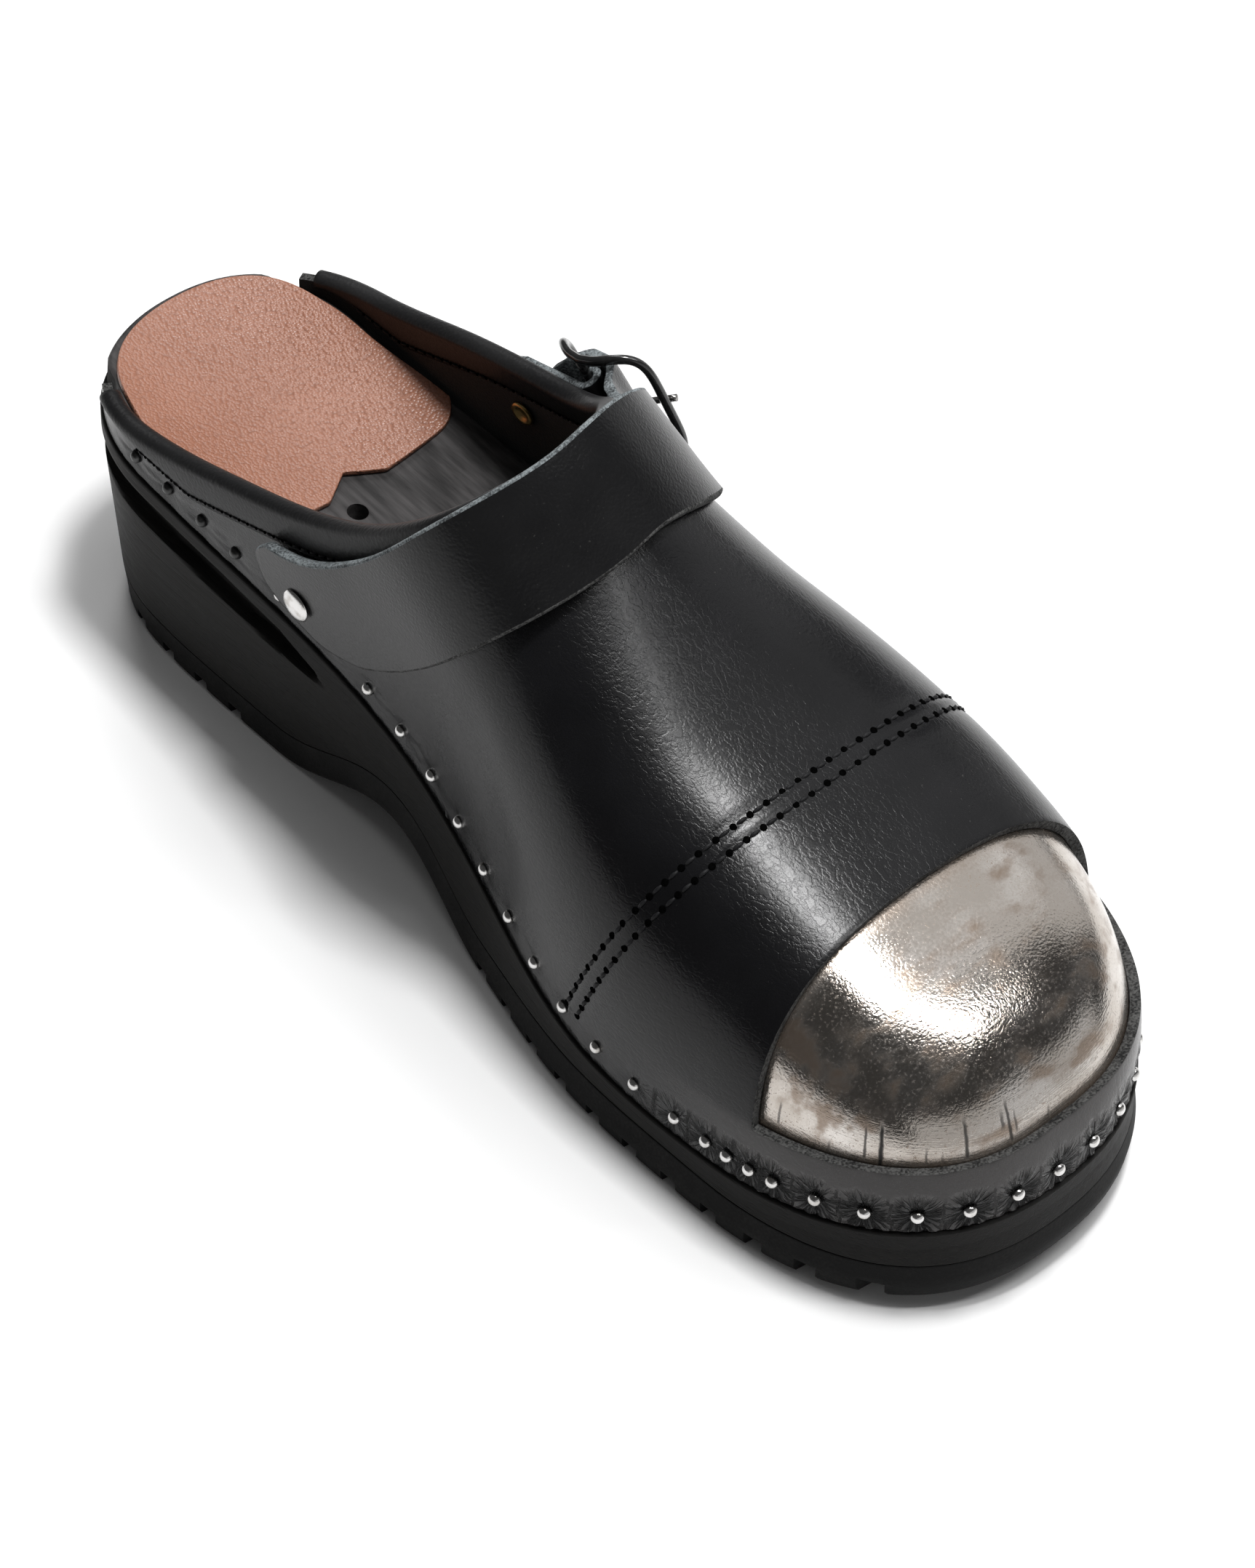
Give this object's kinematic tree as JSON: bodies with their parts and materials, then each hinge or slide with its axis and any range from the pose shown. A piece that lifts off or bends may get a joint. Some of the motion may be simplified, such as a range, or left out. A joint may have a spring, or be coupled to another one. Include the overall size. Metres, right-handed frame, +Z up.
{
  "type": "safety clog",
  "caption": "Left safety clog: nailed black leather upper with a window over a bare steel toe cap, instep strap with buckle, open heel, wooden sole with rubber tread.",
  "frame": {"origin": "on the floor under the middle of the shoe's box", "axes": "+Z up from the floor, +Y from toe to heel, -X to the medial (inner) side of this left shoe"},
  "size_m": [0.111, 0.2876, 0.1181],
  "materials": {
    "leather_black": "glossy black smooth leather",
    "leather_binding": "matt black grained leather",
    "leather_strap": "satin black grained leather, raw edges",
    "leather_tan": "matt tan pebbled leather",
    "wood_black": "satin black painted wood",
    "rubber_black": "matt black rubber",
    "steel_bare": "bare worn steel",
    "steel_nail": "bright nail heads",
    "metal_black": "glossy black enamel",
    "brass": "plain brass"
  },
  "bodies": {
    "root": {"outsole": "rubber_black", "wood_sole": "wood_black", "heel_sock": "leather_tan", "upper": "leather_black", "toe_cap": "steel_bare", "collar_binding": "leather_binding", "strap": "leather_strap", "anchor_strap": "leather_strap", "buckle_frame": "metal_black", "buckle_prong": "metal_black", "rivet_medial": "steel_bare", "rivet_lateral": "brass", "nail_01": "steel_nail", "nail_02": "steel_nail", "nail_03": "steel_nail", "nail_04": "steel_nail", "nail_05": "steel_nail", "nail_06": "steel_nail", "nail_07": "steel_nail", "nail_08": "steel_nail", "nail_09": "steel_nail", "nail_10": "steel_nail", "nail_11": "steel_nail", "nail_12": "steel_nail", "nail_13": "steel_nail", "nail_14": "steel_nail", "nail_15": "steel_nail", "nail_16": "steel_nail", "nail_17": "steel_nail", "nail_18": "steel_nail", "nail_19": "steel_nail", "nail_20": "steel_nail", "nail_21": "steel_nail", "nail_22": "steel_nail", "nail_23": "steel_nail", "nail_24": "steel_nail", "nail_25": "steel_nail", "nail_26": "steel_nail", "nail_27": "steel_nail", "nail_28": "steel_nail", "nail_29": "steel_nail", "nail_30": "steel_nail", "nail_31": "steel_nail", "nail_32": "steel_nail", "nail_33": "steel_nail", "nail_34": "steel_nail", "nail_35": "steel_nail", "nail_36": "steel_nail", "nail_37": "steel_nail", "nail_38": "steel_nail", "nail_39": "steel_nail", "nail_40": "steel_nail", "nail_41": "steel_nail", "nail_42": "steel_nail", "nail_43": "steel_nail", "nail_44": "steel_nail", "nail_45": "steel_nail", "nail_46": "steel_nail", "nail_47": "steel_nail"}
  },
  "joints": []
}
